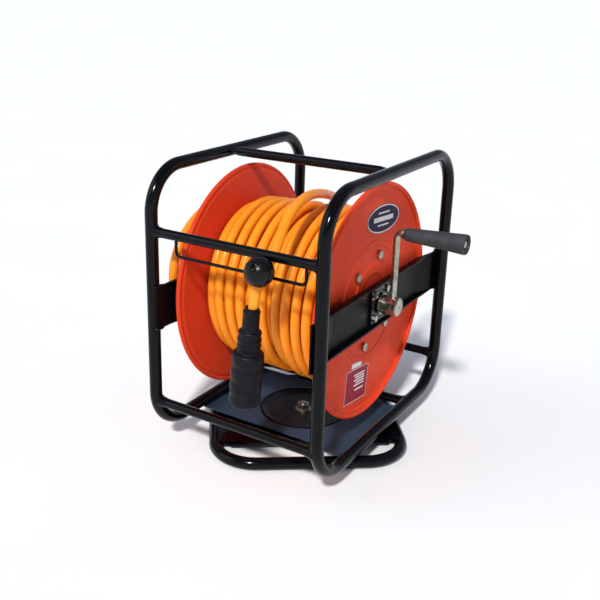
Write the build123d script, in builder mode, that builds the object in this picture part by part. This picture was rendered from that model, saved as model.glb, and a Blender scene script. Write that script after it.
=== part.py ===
from build123d import *
import math
import os

os.makedirs("parts", exist_ok=True)

# All sizes are in millimetres. X runs along the drum's axle with the crank at +X, Y runs front (-) to
# rear (+), Z is up from the floor. Pieces are drawn about the vertical swivel axis; save() then moves
# them by REEL_X, so that the row's origin is the middle of the footprint.

# ---- driving dimensions ----
REEL_X = -34.9            # the swivel axis, from the row's origin
TUBE_R = 10.0             # bent frame tube, outside
TUBE_WALL = 1.6
BAR_R = 7.5               # straight cross tubes, outside
SHEET = 2.5               # tray and base plate
FIT = 0.02                # fixed fit, radial
RUN = 0.06                # running fit, radial

RING_LENGTH = 310.0       # base ring, centre to centre
RING_WIDTH = 300.0
RING_CORNER = 67.0
RING_TURN = 36.6          # degrees, how far the base is turned under the frame
PLATE_TOP = 2 * TUBE_R

HOOP_X = 149.0
HOOP_DEPTH = 436.0
HOOP_HEIGHT = 430.0
HOOP_CORNER = 68.0
HOOP_LOW = 40.0           # centreline of the hoops' lower run
HOOP_TOP = HOOP_LOW + HOOP_HEIGHT
POST_Y = HOOP_DEPTH / 2

AXIS_Z = 255.0            # drum axis above the floor
DISC_R = 192.5
RIGHT_FACE = 117.0        # outer face of the right disc
LEFT_FACE = 120.6         # the left disc's, measured towards -X
DISC_SHEET = 1.5
CORE_R = 86.0
BOLT_CIRCLE = 75.5
BOLT_TURN = 15.0          # degrees of the first disc bolt
AXLE_R = 12.5
AXLE_BORE = 9.0

BRACKET_HEIGHT = 70.0
BRACKET_SHEET = 3.0
RIGHT_WEB = 127.5         # inboard face of the right bracket
LEFT_WEB = 130.5          # the left bracket's, measured towards -X

ARM_X = 155.5
ARM_R = 5.25
CRANK_R = 120.0
GRIP_Z = AXIS_Z + CRANK_R
GRIP_START = 169.8
GRIP_END = 267.0

HOSE_R = 7.5
FRONT_BAR_Z = 376.5
LOW_BAR_Z = 92.4
GUIDE_Z = 345.0
GUIDE_R = 2.5

DRUM_AXIS = Axis((0, 0, AXIS_Z), (1, 0, 0))


def across(x, z=AXIS_Z):
    """A plane square to the drum axis: its x is the reel's Y and its y is up."""
    return Plane(origin=(x, 0, z), x_dir=(0, 1, 0), z_dir=(1, 0, 0))


def lengthways(z=AXIS_Z):
    """The upright plane along the drum axis: its x is the reel's X and its y is up."""
    return Plane(origin=(0, 0, z), x_dir=(1, 0, 0), z_dir=(0, -1, 0))


def save(builder, name):
    """Label a finished piece, move it to the row's origin and write it."""
    piece = builder.part.moved(Location((REEL_X, 0, 0)))
    piece.label = name
    export_step(piece, f"parts/{name}.step")


def hex_radius(across_flats):
    return across_flats / math.sqrt(3)


def corner_radii(points):
    """One radius for each corner of a hose's route, as large as its two runs allow."""
    runs = [Vector(*after) - Vector(*before) for before, after in zip(points, points[1:])]
    free = [0.49 * run.length for run in runs]
    free[0] *= 2
    free[-1] *= 2
    radii = []
    for index, (into, out) in enumerate(zip(runs, runs[1:])):
        half_turn = math.radians(into.get_angle(out)) / 2
        radii.append(min(free[index], free[index + 1]) / math.tan(half_turn))
    return radii


def print_route(name, radii, volume):
    """Print a hose's corner radii and its length by volume."""
    length = volume / (math.pi * HOSE_R**2)
    print(name, "radii", [round(radius) for radius in radii], "length", round(length))


# ---- base: ring, plate and pivot ----
ring_plane = Plane.XY.offset(TUBE_R).rotated((0, 0, RING_TURN))


def bent_loop(plane, width, height, corner, wall=TUBE_WALL):
    """A tube bent into a closed rounded rectangle centred on the plane, solid when wall is None."""
    with BuildSketch(plane) as outline:
        RectangleRounded(width, height, corner)
    loop = outline.sketch.faces()[0].outer_wire()
    with BuildPart() as tube:
        with BuildSketch(Plane(origin=loop @ 0, z_dir=loop % 0)):
            Circle(TUBE_R)
        sweep(path=loop)
        if wall:
            with BuildSketch(Plane(origin=loop @ 0, z_dir=loop % 0)):
                Circle(TUBE_R - wall)
            sweep(path=loop, mode=Mode.SUBTRACT)
    return tube


save(bent_loop(ring_plane, RING_LENGTH, RING_WIDTH, RING_CORNER), "base_ring")
ring_outside = bent_loop(ring_plane, RING_LENGTH, RING_WIDTH, RING_CORNER, None).part

PLATE_WIDTH = 194.0
LIP_LENGTH = 266.0
LIP_DROP = 7.0
PIVOT_R = 6.0
plate_plane = Plane.XY.offset(PLATE_TOP - SHEET).rotated((0, 0, RING_TURN))
lip_plane = Plane.XY.offset(PLATE_TOP - LIP_DROP).rotated((0, 0, RING_TURN))
with BuildPart() as base_plate:
    with BuildSketch(plate_plane):
        Rectangle(RING_LENGTH - TUBE_R, PLATE_WIDTH)
        Circle(PIVOT_R + RUN, mode=Mode.SUBTRACT)
    extrude(amount=SHEET)
    with BuildSketch(lip_plane):
        with GridLocations(0, PLATE_WIDTH - SHEET, 1, 2):
            Rectangle(LIP_LENGTH, SHEET)
    extrude(amount=LIP_DROP)
    add(ring_outside, mode=Mode.SUBTRACT)
save(base_plate, "base_plate")

PIVOT_HEAD = 8.0
PIVOT_TOP = 40.0
DISH_FLOOR = 25.0
WASHER = 2.5
with BuildPart() as pivot_bolt:
    with BuildSketch(Plane.XY.offset(PLATE_TOP - SHEET)):
        RegularPolygon(hex_radius(19), 6)
    extrude(amount=-PIVOT_HEAD)
    with BuildSketch(Plane.XY.offset(PLATE_TOP - SHEET)):
        Circle(PIVOT_R)
    extrude(amount=PIVOT_TOP - PLATE_TOP + SHEET)
    chamfer(pivot_bolt.faces().sort_by(Axis.Z)[-1].edges(), 0.8)
save(pivot_bolt, "pivot_bolt")

with BuildPart() as thrust_washer:
    with BuildSketch(Plane.XY.offset(PLATE_TOP)):
        Circle(45)
        Circle(PIVOT_R + RUN, mode=Mode.SUBTRACT)
    extrude(amount=DISH_FLOOR - SHEET - PLATE_TOP - 0.2)
save(thrust_washer, "thrust_washer")

with BuildPart() as pivot_washer:
    with BuildSketch(Plane.XY.offset(DISH_FLOOR + 0.2)):
        Circle(14)
        Circle(PIVOT_R + FIT, mode=Mode.SUBTRACT)
    extrude(amount=WASHER)
save(pivot_washer, "pivot_washer")

with BuildPart() as pivot_nut:
    with BuildSketch(Plane.XY.offset(DISH_FLOOR + 0.2 + WASHER)):
        RegularPolygon(hex_radius(19), 6)
        Circle(PIVOT_R + FIT, mode=Mode.SUBTRACT)
    extrude(amount=10)
save(pivot_nut, "pivot_nut")

# ---- frame: tray, hoops and cross tubes ----
TRAY_DEPTH = 190.0
TRAY_TOP = HOOP_LOW - TUBE_R
DISH_R = 72.0
DISH_FLOOR_R = 62.0
with BuildPart() as tray:
    with BuildSketch(Plane.XY.offset(TRAY_TOP - SHEET)):
        RectangleRounded(2 * HOOP_X, TRAY_DEPTH, 6)
        Circle(DISH_R + 3, mode=Mode.SUBTRACT)
    extrude(amount=SHEET)
    with BuildSketch(Plane.XZ):
        with BuildLine():
            Polyline(
                (PIVOT_R + RUN, DISH_FLOOR),
                (DISH_FLOOR_R, DISH_FLOOR),
                (DISH_R, TRAY_TOP),
                (DISH_R + 3, TRAY_TOP),
                (DISH_R + 3, TRAY_TOP - SHEET),
                (DISH_R + 1, TRAY_TOP - SHEET),
                (DISH_FLOOR_R + 1, DISH_FLOOR - SHEET),
                (PIVOT_R + RUN, DISH_FLOOR - SHEET),
                close=True,
            )
        make_face()
    revolve(axis=Axis.Z)
save(tray, "tray")

hoop_outsides = []
for side, name in ((-1, "left_hoop"), (1, "right_hoop")):
    hoop_plane = across(side * HOOP_X, (HOOP_LOW + HOOP_TOP) / 2)
    save(bent_loop(hoop_plane, HOOP_DEPTH, HOOP_HEIGHT, HOOP_CORNER), name)
    hoop_outsides.append(bent_loop(hoop_plane, HOOP_DEPTH, HOOP_HEIGHT, HOOP_CORNER, None).part)

FLARE = 12.0              # length of a cross tube's flared end
FLARE_R = 9.4


def post_y(z):
    """How far from the middle an upright's centreline runs at height z, in the lower bend too."""
    below_bend = max(0, HOOP_LOW + HOOP_CORNER - z)
    return POST_Y - HOOP_CORNER + math.sqrt(HOOP_CORNER**2 - below_bend**2)


def cross_bar(y, z, end_height=FLARE_R, end_depth=FLARE_R):
    """A hollow tube from hoop to hoop with shaped ends, coped to the hoops."""
    reach = HOOP_X
    straight = reach - TUBE_R - FLARE
    with BuildPart() as bar:
        with BuildSketch(Plane(origin=(-straight, y, z), x_dir=(0, 1, 0), z_dir=(1, 0, 0))):
            Circle(BAR_R)
        extrude(amount=2 * straight)
        for side in (-1, 1):
            start = Plane(origin=(side * straight, y, z), x_dir=(0, 1, 0), z_dir=(1, 0, 0))
            mouth = Plane(origin=(side * (reach - TUBE_R + 1), y, z), x_dir=(0, 1, 0), z_dir=(1, 0, 0))
            with BuildSketch(start):
                Ellipse(BAR_R, BAR_R)
            with BuildSketch(mouth):
                Ellipse(end_depth, end_height)
            loft()
            with BuildSketch(mouth):
                Ellipse(end_depth, end_height)
            extrude(amount=side * (TUBE_R - 1))
        with BuildSketch(Plane(origin=(-straight, y, z), x_dir=(0, 1, 0), z_dir=(1, 0, 0))):
            Circle(BAR_R - TUBE_WALL)
        extrude(amount=2 * straight, mode=Mode.SUBTRACT)
        for outside in hoop_outsides:
            add(outside, mode=Mode.SUBTRACT)
    return bar


FLAT_HEIGHT = 5.0         # half height of the top bar's pressed ends
FLAT_DEPTH = 9.5
save(cross_bar(-15, HOOP_TOP, FLAT_HEIGHT, FLAT_DEPTH), "top_bar")
save(cross_bar(-POST_Y, FRONT_BAR_Z), "front_upper_bar")
save(cross_bar(-post_y(LOW_BAR_Z), LOW_BAR_Z), "front_lower_bar")
save(cross_bar(post_y(LOW_BAR_Z), LOW_BAR_Z), "rear_lower_bar")
save(cross_bar(103, HOOP_LOW), "rear_bottom_bar")

GUIDE_LEFT = -102.0
GUIDE_RIGHT = 123.0
guide_points = (
    (GUIDE_LEFT, -POST_Y, FRONT_BAR_Z),
    (GUIDE_LEFT, -POST_Y, GUIDE_Z),
    (GUIDE_RIGHT, -POST_Y, GUIDE_Z),
    (GUIDE_RIGHT, -POST_Y, FRONT_BAR_Z),
)
with BuildPart() as hose_guide:
    with BuildLine() as wire:
        FilletPolyline(*guide_points, radius=8)
    with BuildSketch(Plane(origin=wire.line @ 0, z_dir=wire.line % 0)):
        Circle(GUIDE_R)
    sweep(path=wire.line)
    with Locations((0, -POST_Y, FRONT_BAR_Z)):
        Cylinder(BAR_R, 2 * HOOP_X, rotation=(0, 90, 0), mode=Mode.SUBTRACT)
save(hose_guide, "hose_guide")

# ---- bearing brackets, housings and bushes ----
BRACKET_END = POST_Y + TUBE_R - 2
BRACKET_STRAIGHT = 150.0  # half length of the straight middle
BRACKET_KNEE = 195.0      # where the ends lie flat on the posts
POST_SIDE = HOOP_X - TUBE_R
HOUSING_R = 17.0
HOUSING_PLATE = 4.0
BUSH_R = 15.0
BEARING_PITCH = 40.0
SCREW_R = 3.0


def bracket_outline(web, sheet_side):
    """Half of the web's line in plan, from the middle to the end, on one side of the sheet."""
    return (
        (web + sheet_side, 0),
        (web + sheet_side, BRACKET_STRAIGHT),
        (POST_SIDE - BRACKET_SHEET + sheet_side, BRACKET_KNEE),
        (POST_SIDE - BRACKET_SHEET + sheet_side, BRACKET_END),
    )


def bracket(web, side):
    """A channel with its flanges folded outboard, whose ends reach out to the posts."""
    inner = bracket_outline(web, 0)
    outer = bracket_outline(web, BRACKET_SHEET)
    whole = (*inner, (POST_SIDE, BRACKET_END), (POST_SIDE, 0))
    pocket = (*outer[:3], (POST_SIDE + 1, BRACKET_KNEE), (POST_SIDE + 1, 0))
    with BuildPart() as channel:
        with BuildSketch(Plane.XY.offset(AXIS_Z - BRACKET_HEIGHT / 2)):
            for half in (-1, 1):
                Polygon(*((side * x, half * y) for x, y in whole), align=None)
        extrude(amount=BRACKET_HEIGHT)
        with BuildSketch(Plane.XY.offset(AXIS_Z - BRACKET_HEIGHT / 2 + BRACKET_SHEET)):
            for half in (-1, 1):
                Polygon(*((side * x, half * y) for x, y in pocket), align=None)
        extrude(amount=BRACKET_HEIGHT - 2 * BRACKET_SHEET, mode=Mode.SUBTRACT)
        with BuildSketch(across(side * (web - 1))):
            Circle(HOUSING_R + FIT)
            with GridLocations(BEARING_PITCH, BEARING_PITCH, 2, 2):
                Circle(SCREW_R + FIT)
        extrude(amount=side * (BRACKET_SHEET + 2), mode=Mode.SUBTRACT)
    return channel


def housing(web, side):
    """A square flange on the web with a boss through it, bored for the bush."""
    face = web + BRACKET_SHEET
    with BuildPart() as block:
        with BuildSketch(across(side * face)):
            RectangleRounded(60, 60, 7)
            with GridLocations(BEARING_PITCH, BEARING_PITCH, 2, 2):
                Circle(SCREW_R + FIT, mode=Mode.SUBTRACT)
        extrude(amount=side * HOUSING_PLATE)
        with BuildSketch(across(side * (web - 1.5))):
            Circle(HOUSING_R)
        extrude(amount=side * (BRACKET_SHEET + HOUSING_PLATE + 4))
        with BuildSketch(across(side * (web - 2))):
            Circle(BUSH_R + FIT)
        extrude(amount=side * (BRACKET_SHEET + HOUSING_PLATE + 6), mode=Mode.SUBTRACT)
    return block


def bush(web, side):
    with BuildPart() as sleeve:
        with BuildSketch(across(side * (web - 1.5))):
            Circle(BUSH_R)
            Circle(AXLE_R + RUN, mode=Mode.SUBTRACT)
        extrude(amount=side * (BRACKET_SHEET + HOUSING_PLATE + 4))
    return sleeve


for side, web, label in ((-1, LEFT_WEB, "left"), (1, RIGHT_WEB, "right")):
    save(bracket(web, side), f"{label}_bracket")
    save(housing(web, side), f"{label}_bearing_housing")
    save(bush(web, side), f"{label}_bush")

with BuildPart() as bearing_bolts:
    for side, web in ((-1, LEFT_WEB), (1, RIGHT_WEB)):
        face = web + BRACKET_SHEET + HOUSING_PLATE
        with BuildSketch(across(side * face)):
            with GridLocations(BEARING_PITCH, BEARING_PITCH, 2, 2):
                RegularPolygon(hex_radius(10), 6)
        extrude(amount=side * 4)
        with BuildSketch(across(side * face)):
            with GridLocations(BEARING_PITCH, BEARING_PITCH, 2, 2):
                Circle(SCREW_R)
        extrude(amount=-side * (BRACKET_SHEET + HOUSING_PLATE + 4.5))
save(bearing_bolts, "bearing_bolts")

with BuildPart() as bearing_nuts:
    for side, web in ((-1, LEFT_WEB), (1, RIGHT_WEB)):
        with BuildSketch(across(side * web)):
            with GridLocations(BEARING_PITCH, BEARING_PITCH, 2, 2):
                RegularPolygon(hex_radius(10), 6)
            with GridLocations(BEARING_PITCH, BEARING_PITCH, 2, 2):
                Circle(SCREW_R + FIT, mode=Mode.SUBTRACT)
        extrude(amount=-side * 4)
save(bearing_nuts, "bearing_nuts")

# ---- drum: axle, core, discs and their bolts ----
AXLE_LEFT = -160.0
AXLE_RIGHT = 150.0
PLUG_LEFT = -35.0         # the axle's bore is plugged here, just past the outlet
PLUG_RIGHT = -25.0
OUTLET_X = -60.0
OUTLET_R = 7.0
OUTLET_BORE = 4.5
CLIP_X = -158.0
CLIP_GROOVE_R = 11.4
CLIP_WIDTH = 1.5
with BuildPart() as hollow_axle:
    with BuildSketch(across(AXLE_LEFT)):
        Circle(AXLE_R)
    extrude(amount=AXLE_RIGHT - AXLE_LEFT)
    with BuildSketch(across(AXLE_LEFT)):
        Circle(AXLE_BORE)
    extrude(amount=PLUG_LEFT - AXLE_LEFT, mode=Mode.SUBTRACT)
    with BuildSketch(across(PLUG_RIGHT)):
        Circle(AXLE_BORE)
    extrude(amount=AXLE_RIGHT - PLUG_RIGHT, mode=Mode.SUBTRACT)
    with BuildSketch(across(CLIP_X)):
        Circle(AXLE_R + 1)
        Circle(CLIP_GROOVE_R, mode=Mode.SUBTRACT)
    extrude(amount=CLIP_WIDTH + 0.1, mode=Mode.SUBTRACT)
    with BuildSketch(Plane.XY.offset(AXIS_Z)):
        with Locations((OUTLET_X, 0)):
            Circle(OUTLET_BORE)
    extrude(amount=AXLE_R + 1, mode=Mode.SUBTRACT)
save(hollow_axle, "hollow_axle")

with BuildPart() as axle_circlip:
    with BuildSketch(across(CLIP_X + 0.05)):
        Circle(15)
        Circle(CLIP_GROOVE_R + 0.05, mode=Mode.SUBTRACT)
        with Locations((0, -AXLE_R)):
            Rectangle(6, 9, mode=Mode.SUBTRACT)
    extrude(amount=CLIP_WIDTH)
save(axle_circlip, "axle_circlip")

CORE_SHEET = 2.0
CORE_RIGHT = RIGHT_FACE - DISC_SHEET
CORE_LEFT = -(LEFT_FACE - DISC_SHEET)
CORE_LIP_R = 60.0
DISC_BOLT_R = 4.0
with BuildPart() as drum_core:
    with BuildSketch(lengthways()):
        with BuildLine():
            Polyline(
                (CORE_LEFT, CORE_LIP_R),
                (CORE_LEFT, CORE_R),
                (CORE_RIGHT, CORE_R),
                (CORE_RIGHT, CORE_LIP_R),
                (CORE_RIGHT - CORE_SHEET, CORE_LIP_R),
                (CORE_RIGHT - CORE_SHEET, CORE_R - CORE_SHEET),
                (CORE_LEFT + CORE_SHEET, CORE_R - CORE_SHEET),
                (CORE_LEFT + CORE_SHEET, CORE_LIP_R),
                close=True,
            )
        make_face()
    revolve(axis=DRUM_AXIS)
    with BuildSketch(across(CORE_LEFT - 1)):
        with PolarLocations(BOLT_CIRCLE, 6, BOLT_TURN):
            Circle(DISC_BOLT_R + 0.1)
    extrude(amount=CORE_RIGHT - CORE_LEFT + 2, mode=Mode.SUBTRACT)
    with BuildSketch(Plane.XY.offset(AXIS_Z)):
        with Locations((OUTLET_X, 0)):
            Circle(OUTLET_BORE)
    extrude(amount=CORE_R + 1, mode=Mode.SUBTRACT)
save(drum_core, "drum_core")

with BuildPart() as outlet_pipe:
    with BuildSketch(Plane.XY.offset(AXIS_Z)):
        with Locations((OUTLET_X, 0)):
            Circle(OUTLET_R)
            Circle(OUTLET_BORE, mode=Mode.SUBTRACT)
    extrude(amount=CORE_R)
    with Locations((OUTLET_X, 0, AXIS_Z)):
        Cylinder(AXLE_R, 4 * OUTLET_R, rotation=(0, 90, 0), mode=Mode.SUBTRACT)
        Cylinder(CORE_R - CORE_SHEET, 4 * OUTLET_R, rotation=(0, 90, 0), mode=Mode.INTERSECT)
save(outlet_pipe, "outlet_pipe")

HUB_FLANGE = 4.0
with BuildPart() as axle_hubs:
    for side, face in ((-1, -CORE_LEFT), (1, CORE_RIGHT)):
        with BuildSketch(across(side * face)):
            Circle(40)
            Circle(AXLE_R + FIT, mode=Mode.SUBTRACT)
        extrude(amount=-side * HUB_FLANGE)
        with BuildSketch(across(side * (face - HUB_FLANGE))):
            Circle(19)
            Circle(AXLE_R + FIT, mode=Mode.SUBTRACT)
        extrude(amount=-side * 16)
save(axle_hubs, "axle_hubs")

BEAD_R = 4.0
BEAD_RISE = 3.2
# Outer face of a disc from the axle to the rim, as radius and height above the flat.
DISC_LINE = (
    (AXLE_R + RUN, 0.0),
    (44.0, 0.0),
    (47.0, 1.6),
    (60.0, 1.6),
    (63.0, 0.0),
    (90.0, 0.0),
    (93.0, 1.4),
    (98.0, 1.4),
    (101.0, 0.0),
    (180.0, 0.0),
    (184.5, 1.6),
    (DISC_R - BEAD_R, BEAD_RISE),
)


def disc(face, side):
    """A pressed disc with two raised rings and a rolled rim."""
    outer = [(side * (face + rise), radius) for radius, rise in DISC_LINE]
    inner = [(side * (face + rise - DISC_SHEET), radius) for radius, rise in reversed(DISC_LINE)]
    with BuildPart() as plate:
        with BuildSketch(lengthways()):
            with BuildLine():
                Polyline(*outer, *inner, close=True)
            make_face()
            with Locations((side * (face + BEAD_RISE), DISC_R - BEAD_R)):
                Circle(BEAD_R)
        revolve(axis=DRUM_AXIS)
        with BuildSketch(across(side * (face - DISC_SHEET - 1))):
            with PolarLocations(BOLT_CIRCLE, 6, BOLT_TURN):
                Circle(DISC_BOLT_R + 0.1)
        extrude(amount=side * (DISC_SHEET + 2), mode=Mode.SUBTRACT)
    return plate


save(disc(LEFT_FACE, -1), "left_disc")
save(disc(RIGHT_FACE, 1), "right_disc")

with BuildPart() as disc_bolts:
    for side, face in ((-1, LEFT_FACE), (1, RIGHT_FACE)):
        with BuildSketch(across(side * face)):
            with PolarLocations(BOLT_CIRCLE, 6, BOLT_TURN):
                RegularPolygon(hex_radius(13), 6)
        extrude(amount=side * 5.3)
        with BuildSketch(across(side * face)):
            with PolarLocations(BOLT_CIRCLE, 6, BOLT_TURN):
                Circle(DISC_BOLT_R)
        extrude(amount=-side * 14)
save(disc_bolts, "disc_bolts")

with BuildPart() as disc_nuts:
    for side, face in ((-1, -CORE_LEFT), (1, CORE_RIGHT)):
        with BuildSketch(across(side * (face - CORE_SHEET))):
            with PolarLocations(BOLT_CIRCLE, 6, BOLT_TURN):
                RegularPolygon(hex_radius(13), 6)
            with PolarLocations(BOLT_CIRCLE, 6, BOLT_TURN):
                Circle(DISC_BOLT_R + FIT, mode=Mode.SUBTRACT)
        extrude(amount=-side * 6.5)
save(disc_nuts, "disc_nuts")

# The badge and the label lie on the flat of the right disc between its raised rings.
with BuildPart() as badge:
    with BuildSketch(across(RIGHT_FACE)):
        with Locations(Location((30, 130), -4.5)):
            Ellipse(58, 23)
    extrude(amount=0.6)
save(badge, "badge")

with BuildPart() as disc_label:
    with BuildSketch(across(RIGHT_FACE)):
        with Locations(Location((-36, -133), -7)):
            RectangleRounded(78, 58, 2)
    extrude(amount=0.4)
save(disc_label, "disc_label")

# ---- crank ----
HUB_X = 138.8
HUB_END = 167.0
HUB_R = 15.0
CRANK_SCREW_R = 3.0
HUB_SCREW_X = 145.0
with BuildPart() as crank_hub:
    with BuildSketch(across(HUB_X)):
        Circle(HUB_R)
    extrude(amount=HUB_END - HUB_X)
    chamfer(crank_hub.faces().sort_by(Axis.X)[-1].edges(), 1.5)
    with BuildSketch(across(HUB_X)):
        Circle(AXLE_R + FIT)
    extrude(amount=AXLE_RIGHT - HUB_X, mode=Mode.SUBTRACT)
    with BuildSketch(Plane.XY.offset(AXIS_Z - 10)):
        with Locations((ARM_X, 0)):
            Circle(ARM_R + FIT)
    extrude(amount=HUB_R + 12, mode=Mode.SUBTRACT)
    with BuildSketch(across(HUB_END)):
        Circle(CRANK_SCREW_R + FIT)
    extrude(amount=-(HUB_END - ARM_X), mode=Mode.SUBTRACT)
    with BuildSketch(Plane(origin=(HUB_SCREW_X, 0, AXIS_Z), z_dir=(0, -1, 1))):
        Circle(CRANK_SCREW_R + FIT)
    extrude(amount=HUB_R + 1, mode=Mode.SUBTRACT)
save(crank_hub, "crank_hub")

with BuildPart() as crank_set_screws:
    with BuildSketch(across(ARM_X + ARM_R)):
        Circle(CRANK_SCREW_R)
    extrude(amount=HUB_END - ARM_X - ARM_R)
    with BuildSketch(across(HUB_END)):
        RegularPolygon(hex_radius(3), 6)
    extrude(amount=-3, mode=Mode.SUBTRACT)
    screw_plane = Plane(origin=(HUB_SCREW_X, 0, AXIS_Z), z_dir=(0, -1, 1))
    with BuildSketch(screw_plane.offset(AXLE_R + FIT)):
        Circle(CRANK_SCREW_R)
    extrude(amount=HUB_R - AXLE_R)
    with BuildSketch(screw_plane.offset(HUB_R)):
        RegularPolygon(hex_radius(3), 6)
    extrude(amount=-1.6, mode=Mode.SUBTRACT)
save(crank_set_screws, "crank_set_screws")

with BuildPart() as axle_washer:
    with BuildSketch(across(RIGHT_WEB + BRACKET_SHEET + HOUSING_PLATE + 2.8)):
        Circle(17)
        Circle(AXLE_R + FIT, mode=Mode.SUBTRACT)
    extrude(amount=1.4)
save(axle_washer, "axle_washer")

SPINDLE_END = 264.5
ARM_BEND = 9.0
arm_points = (
    (ARM_X, 0, AXIS_Z - 10),
    (ARM_X, 0, GRIP_Z),
    (SPINDLE_END, 0, GRIP_Z),
)
with BuildPart() as crank_arm:
    with BuildLine() as rod:
        FilletPolyline(*arm_points, radius=ARM_BEND)
    with BuildSketch(Plane(origin=rod.line @ 0, z_dir=rod.line % 0)):
        Circle(ARM_R)
    sweep(path=rod.line)
save(crank_arm, "crank_arm")

with BuildPart() as crank_collar:
    with BuildSketch(across(ARM_X + ARM_BEND + 0.2, GRIP_Z)):
        Circle(8)
        Circle(ARM_R + FIT, mode=Mode.SUBTRACT)
    extrude(amount=4.4)
save(crank_collar, "crank_collar")

GRIP_RECESS = 12.0
RECESS_R = 10.0
with BuildPart() as grip:
    with BuildSketch(lengthways(GRIP_Z)):
        with BuildLine():
            Polyline(
                (GRIP_START, ARM_R + RUN),
                (GRIP_START, 8.6),
                (GRIP_START + 2.2, 10.2),
                (GRIP_END - 2.0, 15.5),
                (GRIP_END, 14.0),
                (GRIP_END, RECESS_R),
                (GRIP_END - GRIP_RECESS, RECESS_R),
                (GRIP_END - GRIP_RECESS, ARM_R + RUN),
                close=True,
            )
        make_face()
    revolve(axis=Axis((0, 0, GRIP_Z), (1, 0, 0)))
save(grip, "grip")

with BuildPart() as grip_washer:
    with BuildSketch(across(GRIP_END - GRIP_RECESS + 0.4, GRIP_Z)):
        Circle(9.2)
        Circle(ARM_R + FIT, mode=Mode.SUBTRACT)
    extrude(amount=1.6)
save(grip_washer, "grip_washer")

with BuildPart() as grip_nut:
    with BuildSketch(across(GRIP_END - GRIP_RECESS + 2.0, GRIP_Z)):
        RegularPolygon(hex_radius(14), 6)
        Circle(ARM_R + FIT, mode=Mode.SUBTRACT)
    extrude(amount=5.5)
save(grip_nut, "grip_nut")

# ---- inlet swivel on the left end of the axle ----
SWIVEL_X = -141.0
SWIVEL_LENGTH = 31.0
SWIVEL_R = 19.0
CHAMBER_R = 15.6
SEAL_XS = (-146.0, -151.0)
SEAL_R = 1.5
PORT_X = -161.0
with BuildPart() as swivel_body:
    with BuildSketch(across(SWIVEL_X)):
        Circle(SWIVEL_R)
    extrude(amount=-SWIVEL_LENGTH)
    with BuildSketch(across(SWIVEL_X)):
        Circle(AXLE_R + RUN)
    extrude(amount=-SWIVEL_LENGTH, mode=Mode.SUBTRACT)
    with BuildSketch(across(SWIVEL_X - SWIVEL_LENGTH)):
        Circle(CHAMBER_R)
    extrude(amount=SWIVEL_LENGTH - 13, mode=Mode.SUBTRACT)
    for seal_x in SEAL_XS:
        with BuildSketch(across(seal_x - SEAL_R - 0.05)):
            Circle(AXLE_R + RUN + 2 * SEAL_R + 0.1)
        extrude(amount=2 * SEAL_R + 0.1, mode=Mode.SUBTRACT)
    with BuildSketch(Plane.XY.offset(AXIS_Z)):
        with Locations((PORT_X, 0)):
            Circle(8)
    extrude(amount=-SWIVEL_R - 1, mode=Mode.SUBTRACT)
save(swivel_body, "swivel_body")

with BuildPart() as swivel_cap:
    with BuildSketch(across(SWIVEL_X - SWIVEL_LENGTH)):
        Circle(SWIVEL_R)
    extrude(amount=-2.5)
    with BuildSketch(across(SWIVEL_X - SWIVEL_LENGTH)):
        Circle(CHAMBER_R - FIT)
    extrude(amount=2)
save(swivel_cap, "swivel_cap")

with BuildPart() as swivel_seals:
    for seal_x in SEAL_XS:
        with BuildSketch(lengthways()):
            with Locations((seal_x, AXLE_R + RUN + SEAL_R + 0.02)):
                Circle(SEAL_R)
        revolve(axis=DRUM_AXIS)
save(swivel_seals, "swivel_seals")

LEAD_START_Z = 212.0
with BuildPart() as inlet_nipple:
    with BuildSketch(Plane.XY.offset(AXIS_Z - CHAMBER_R)):
        with Locations((PORT_X, 0)):
            Circle(8 - FIT)
    extrude(amount=-(SWIVEL_R - CHAMBER_R) - 2)
    with BuildSketch(Plane.XY.offset(AXIS_Z - SWIVEL_R - 2)):
        with Locations((PORT_X, 0)):
            RegularPolygon(hex_radius(19), 6)
    extrude(amount=-8)
    with BuildSketch(Plane.XY.offset(AXIS_Z - SWIVEL_R - 10)):
        with Locations((PORT_X, 0)):
            Circle(9.4)
    extrude(amount=-(AXIS_Z - SWIVEL_R - 10 - LEAD_START_Z))
    with BuildSketch(Plane.XY.offset(AXIS_Z)):
        with Locations((PORT_X, 0)):
            Circle(OUTLET_BORE)
    extrude(amount=-(AXIS_Z - LEAD_START_Z), mode=Mode.SUBTRACT)
save(inlet_nipple, "inlet_nipple")

# ---- hoses ----


def hose_tube(points):
    """A solid hose along straight runs joined by arcs, with its corner radii."""
    radii = corner_radii(points)
    with BuildPart() as tube:
        with BuildLine() as route:
            FilletPolyline(*points, radius=radii)
        with BuildSketch(Plane(origin=route.line @ 0, z_dir=route.line % 0)):
            Circle(HOSE_R)
        sweep(path=route.line)
    return tube, radii


# The supply hose leaves the swivel downwards, loops forward and up outside the left bracket and comes
# down behind it, outboard of the hoop, where its connector hangs clear of the base.
LEAD_POINTS = (
    (PORT_X, 0, LEAD_START_Z),
    (PORT_X, 0, 168),
    (-160, -38, 130),
    (-156, -92, 130),
    (-153, -128, 170),
    (-151, -141, 212),
    (-151, -161, 250),
    (-151, -168, 286),
    (-151, -161, 320),
    (-151, -140, 350),
    (-151, -107, 373),
    (-151, -66, 387),
    (-152, -23, 387),
    (-154, 20, 375),
    (-158, 57, 350),
    (-164, 84, 315),
    (-171, 98, 276),
    (-176, 102, 240),
    (-178, 103, 208),
    (-178, 103, 184),
)
lead_in_hose, lead_radii = hose_tube(LEAD_POINTS)
print_route("lead_in_hose", lead_radii, lead_in_hose.part.volume)
save(lead_in_hose, "lead_in_hose")

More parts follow.
